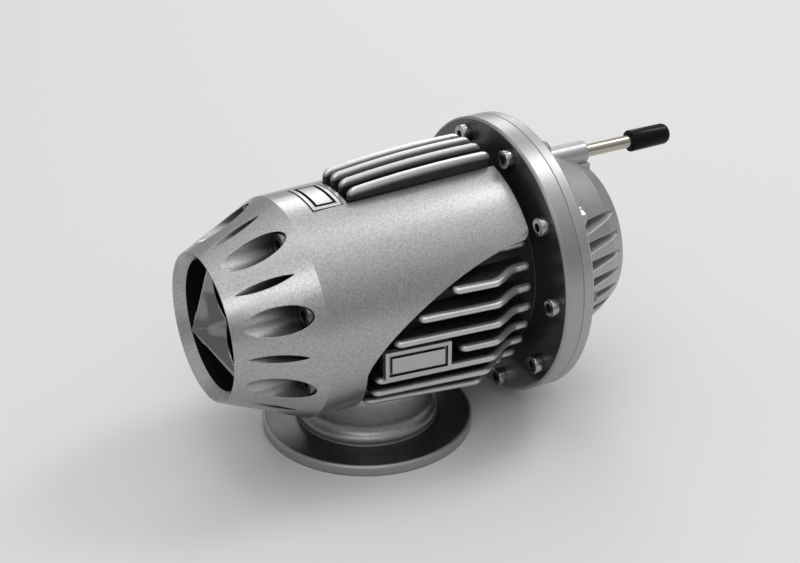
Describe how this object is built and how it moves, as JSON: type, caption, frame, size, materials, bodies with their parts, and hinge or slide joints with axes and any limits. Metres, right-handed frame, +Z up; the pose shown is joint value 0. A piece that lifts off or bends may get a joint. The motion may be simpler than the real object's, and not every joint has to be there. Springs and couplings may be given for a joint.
{
  "type": "blow off valve",
  "caption": "Round blow off valve with a cut-away cowl over a finned body, a star insert in the discharge nose, a bolted diaphragm cover with a hose nipple and a flanged inlet neck.",
  "frame": {"origin": "centre of the inlet flange's sealing face, which the part stands on", "axes": "+Z up through the inlet neck, +X along the main axis from the discharge nose to the hose nipple, -Y to the side that carries the side plate"},
  "size_m": [0.1631, 0.0856, 0.0882],
  "materials": {
    "cowl_paint": "silver metallic, semi-gloss",
    "body_cast": "cast, dark in the recesses and bright on the crests",
    "cover_cast": "cast, satin silver",
    "plate": "satin silver with a dark groove",
    "chrome": "polished",
    "stainless": "plain stainless",
    "nickel": "nickel plated, bright",
    "rubber": "smooth black",
    "bronze": "machined",
    "machined": "machined",
    "spring_steel": "bright drawn wire"
  },
  "bodies": {
    "housing": {"cowl": "cowl_paint", "nose_fin": "chrome", "cowl_screws": "stainless", "valve_body": "body_cast", "side_plate": "plate", "top_plate": "plate", "flange_screws": "stainless", "flange_nuts": "stainless", "rear_cover": "cover_cast", "hose_nipple": "nickel", "nipple_cap": "rubber", "seat_ring": "bronze", "guide_bush": "bronze", "secondary_spring": "spring_steel", "diaphragm": "rubber", "main_spring": "spring_steel"},
    "secondary": {"secondary_valve": "machined", "secondary_seal": "rubber"},
    "stem": {"valve_shaft": "stainless", "primary_valve": "machined", "primary_seal": "rubber", "stop_nut": "stainless", "front_plate": "machined", "rear_plate": "machined", "plate_nut": "stainless"}
  },
  "joints": [
    {"name": "secondary_slide", "type": "slide", "parent": "housing", "child": "secondary", "axis": [1, 0, 0], "range_m": [0, 0.006], "stiffness_N_per_m": 400, "springref_m": -0.008, "deforming": ["secondary_spring", "main_spring", "diaphragm"]},
    {"name": "stem_slide", "type": "slide", "parent": "secondary", "child": "stem", "axis": [1, 0, 0], "range_m": [0, 0.002], "stiffness_N_per_m": 1500, "springref_m": -0.004, "deforming": ["main_spring", "diaphragm"]}
  ]
}
